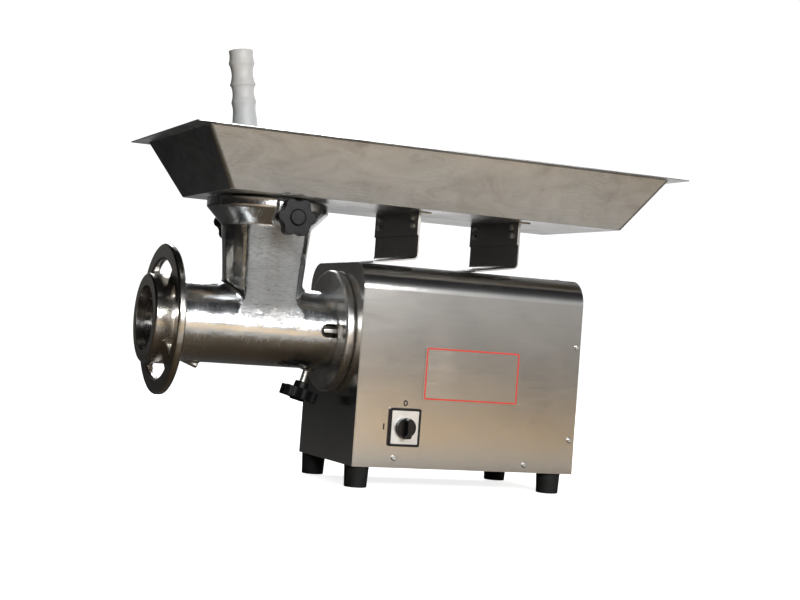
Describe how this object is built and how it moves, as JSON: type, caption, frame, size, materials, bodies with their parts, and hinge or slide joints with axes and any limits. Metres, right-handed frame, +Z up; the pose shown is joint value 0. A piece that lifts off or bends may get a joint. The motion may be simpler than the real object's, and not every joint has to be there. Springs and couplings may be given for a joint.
{
  "type": "electric meat grinder",
  "caption": "Countertop electric meat grinder: steel motor housing on rubber feet, cast grinding head with ring nut and handwheel, deep feed tray and pusher.",
  "frame": {"origin": "centre of the bounding box in X and Y, on the plane that the feet stand on", "axes": "+X from the outlet towards the rear of the motor housing, +Z up, the switch on the -Y side"},
  "size_m": [0.756, 0.355, 0.6039],
  "materials": {
    "panel_steel": "brushed",
    "tray_steel": "satin",
    "bracket_steel": "satin, in shade",
    "cast_aluminium": "tumbled casting",
    "machined_aluminium": "turned",
    "nut_metal": "polished casting",
    "bright_steel": "ground",
    "screw_steel": "zinc",
    "dark_steel": "oiled",
    "case_iron": "as cast",
    "bronze": "sintered",
    "black_rubber": "matt",
    "knob_black": "gloss",
    "switch_black": "gloss",
    "bezel_black": "fine grain",
    "legend_silver": "satin",
    "label_plate": "brushed",
    "pusher_plastic": "moulded",
    "inner_plastic": "moulded",
    "copper": "enamelled winding",
    "motor_paint": "enamel",
    "galvanised": "galvanised"
  },
  "bodies": {
    "base": {"base_plate": "galvanised", "wrap_cover": "panel_steel", "front_panel": "panel_steel", "rear_panel": "panel_steel", "power_inlet": "inner_plastic", "rubber_feet": "black_rubber", "foot_screws": "screw_steel", "housing_screws": "screw_steel", "side_label": "label_plate", "switch_bezel": "bezel_black", "switch_legend": "legend_silver", "switch_body": "inner_plastic", "drive_flange": "machined_aluminium", "flange_key": "bright_steel", "gear_case": "case_iron", "gear_case_cover": "case_iron", "gear_case_bolts": "screw_steel", "ball_bearings": "bright_steel", "shaft_seal": "black_rubber", "motor_can": "motor_paint", "motor_front_bell": "motor_paint", "motor_rear_bell": "motor_paint", "stator_core": "dark_steel", "stator_windings": "copper", "fan_cowl": "inner_plastic", "motor_cradle": "galvanised", "capacitor": "galvanised", "capacitor_clip": "galvanised"},
    "output_drive": {"output_shaft": "dark_steel", "output_gear": "dark_steel"},
    "lay_drive": {"lay_shaft": "dark_steel", "lay_gear": "dark_steel", "lay_pinion": "dark_steel"},
    "rotor": {"motor_shaft": "dark_steel", "rotor_core": "dark_steel", "motor_pinion": "dark_steel", "motor_fan": "inner_plastic"},
    "switch": {"switch_knob": "switch_black"},
    "head": {"grinder_head": "cast_aluminium", "shaft_bush": "bronze", "hole_plate": "dark_steel", "plate_pin": "bright_steel"},
    "screw": {"feed_screw": "cast_aluminium", "knife": "bright_steel"},
    "nut": {"ring_nut": "nut_metal", "handwheel": "nut_metal"},
    "collar_clamp_near": {"collar_knob_near": "knob_black", "collar_stud_near": "screw_steel"},
    "collar_clamp_far": {"collar_knob_far": "knob_black", "collar_stud_far": "screw_steel"},
    "head_lock": {"lock_knob": "knob_black", "lock_stud": "screw_steel"},
    "tray": {"feed_tray": "tray_steel", "tray_tube": "tray_steel", "bracket_front_upper": "bracket_steel", "bracket_front_lower": "bracket_steel", "bracket_rear_upper": "bracket_steel", "bracket_rear_lower": "bracket_steel", "bracket_bolts": "screw_steel"},
    "pusher": {"pusher": "pusher_plastic"}
  },
  "joints": [
    {"name": "output_spin", "type": "hinge", "parent": "base", "child": "output_drive", "pos_m": [-0.097, 0, 0.215], "axis": [1, 0, 0], "continuous": true},
    {"name": "lay_spin", "type": "hinge", "parent": "base", "child": "lay_drive", "pos_m": [-0.05, 0.048, 0.151], "axis": [1, 0, 0], "continuous": true},
    {"name": "rotor_spin", "type": "hinge", "parent": "base", "child": "rotor", "pos_m": [0.05, 0, 0.11336], "axis": [1, 0, 0], "continuous": true},
    {"name": "switch_turn", "type": "hinge", "parent": "base", "child": "switch", "pos_m": [-0.022, -0.107, 0.0875], "axis": [0, -1, 0], "range_deg": [0, 90]},
    {"name": "head_slide", "type": "slide", "parent": "base", "child": "head", "axis": [-1, 0, 0], "range_m": [0, 0.08]},
    {"name": "screw_spin", "type": "hinge", "parent": "head", "child": "screw", "pos_m": [-0.25, 0, 0.215], "axis": [1, 0, 0], "continuous": true},
    {"name": "nut_turn", "type": "hinge", "parent": "head", "child": "nut", "pos_m": [-0.357, 0, 0.215], "axis": [-1, 0, 0], "range_deg": [0, 360]},
    {"name": "collar_clamp_near_turn", "type": "hinge", "parent": "head", "child": "collar_clamp_near", "pos_m": [-0.211, -0.113, 0.365], "axis": [0, -1, 0], "range_deg": [0, 360]},
    {"name": "collar_clamp_far_turn", "type": "hinge", "parent": "head", "child": "collar_clamp_far", "pos_m": [-0.22281, 0.11238, 0.365], "axis": [-0.1045, 0.9945, 0], "range_deg": [0, 360]},
    {"name": "head_lock_turn", "type": "hinge", "parent": "head", "child": "head_lock", "pos_m": [-0.134, 0, 0.1585], "axis": [-0.2639, 0, -0.9646], "range_deg": [0, 360]},
    {"name": "tray_lift", "type": "slide", "parent": "head", "child": "tray", "axis": [0, 0, 1], "range_m": [0, 0.12]},
    {"name": "pusher_lift", "type": "slide", "parent": "tray", "child": "pusher", "axis": [0, 0, 1], "range_m": [0, 0.2]}
  ],
  "couplings": [
    {"joint": "lay_spin", "follows": "output_spin", "ratio": -2.7647},
    {"joint": "rotor_spin", "follows": "output_spin", "ratio": 7.7757},
    {"joint": "screw_spin", "follows": "output_spin", "ratio": 1}
  ]
}
